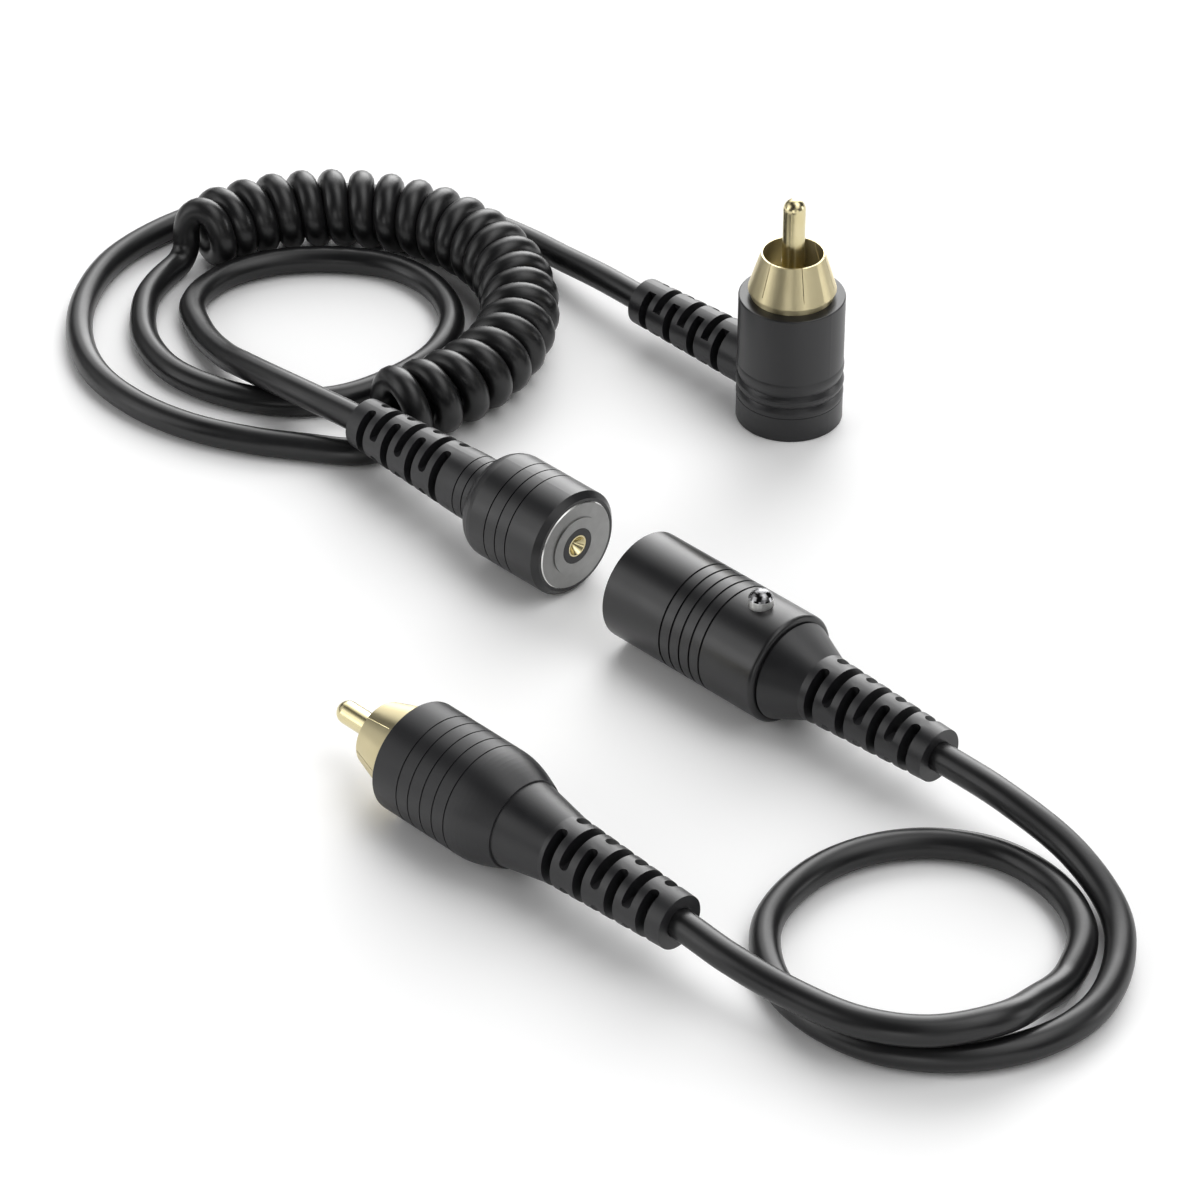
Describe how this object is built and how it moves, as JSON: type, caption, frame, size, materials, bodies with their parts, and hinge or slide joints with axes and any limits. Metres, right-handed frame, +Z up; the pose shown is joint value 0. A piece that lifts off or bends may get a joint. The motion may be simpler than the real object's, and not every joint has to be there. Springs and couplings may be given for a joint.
{
  "type": "coiled audio cable with magnetic coupler",
  "caption": "Black audio lead in two halves joined by a round magnetic coupler, with a curly stretch, a right-angle phono plug and a straight phono plug.",
  "frame": {"origin": "on the floor, under the middle of the box round the plugs and boots, without the cable", "axes": "+X from the magnet plug to the socket, +Y towards the right-angle plug, +Z up"},
  "size_m": [0.222, 0.1157, 0.0357],
  "materials": {
    "barrel_black": "satin black lacquer",
    "boot_black": "matt moulded rubber",
    "cable_black": "satin jacket",
    "core_black": "matt moulded plastic",
    "gold": "polished gold plate",
    "face_steel": "fine ground steel",
    "magnet_grey": "plated magnet",
    "button_chrome": "polished chrome",
    "spring_steel": "bright wire"
  },
  "bodies": {
    "curly_half": {"plug_barrel": "barrel_black", "plug_face": "face_steel", "plug_magnet": "magnet_grey", "plug_insulator": "core_black", "plug_cup": "gold", "plug_boot": "boot_black", "angle_body": "barrel_black", "angle_end_cap": "barrel_black", "angle_shell": "gold", "angle_insulator": "core_black", "angle_pin": "gold", "angle_boot": "boot_black", "coil_lead": "cable_black", "curly_coil": "cable_black", "angle_lead": "cable_black"},
    "short_half": {"socket_housing": "barrel_black", "socket_face": "face_steel", "socket_magnet": "magnet_grey", "socket_insulator": "core_black", "socket_carrier": "core_black", "socket_boot": "boot_black", "contact_sleeve": "gold", "contact_spring": "spring_steel", "button_spring": "spring_steel", "straight_body": "barrel_black", "straight_shell": "gold", "straight_insulator": "core_black", "straight_pin": "gold", "straight_boot": "boot_black", "socket_lead": "cable_black"},
    "button": {"release_button": "button_chrome"},
    "contact": {"contact_pin": "gold"}
  },
  "joints": [
    {"name": "coupler_slide", "type": "slide", "parent": "curly_half", "child": "short_half", "axis": [1, 0, 0], "range_m": [-0.01275, 0.1]},
    {"name": "button_press", "type": "slide", "parent": "short_half", "child": "button", "axis": [0, 0, -1], "range_m": [0, 0.001], "stiffness_N_per_m": 500, "springref_m": -0.001, "deforming": ["button_spring"]},
    {"name": "contact_press", "type": "slide", "parent": "short_half", "child": "contact", "axis": [1, 0, 0], "range_m": [0, 0.0008], "stiffness_N_per_m": 500, "springref_m": -0.001, "deforming": ["contact_spring"]}
  ]
}
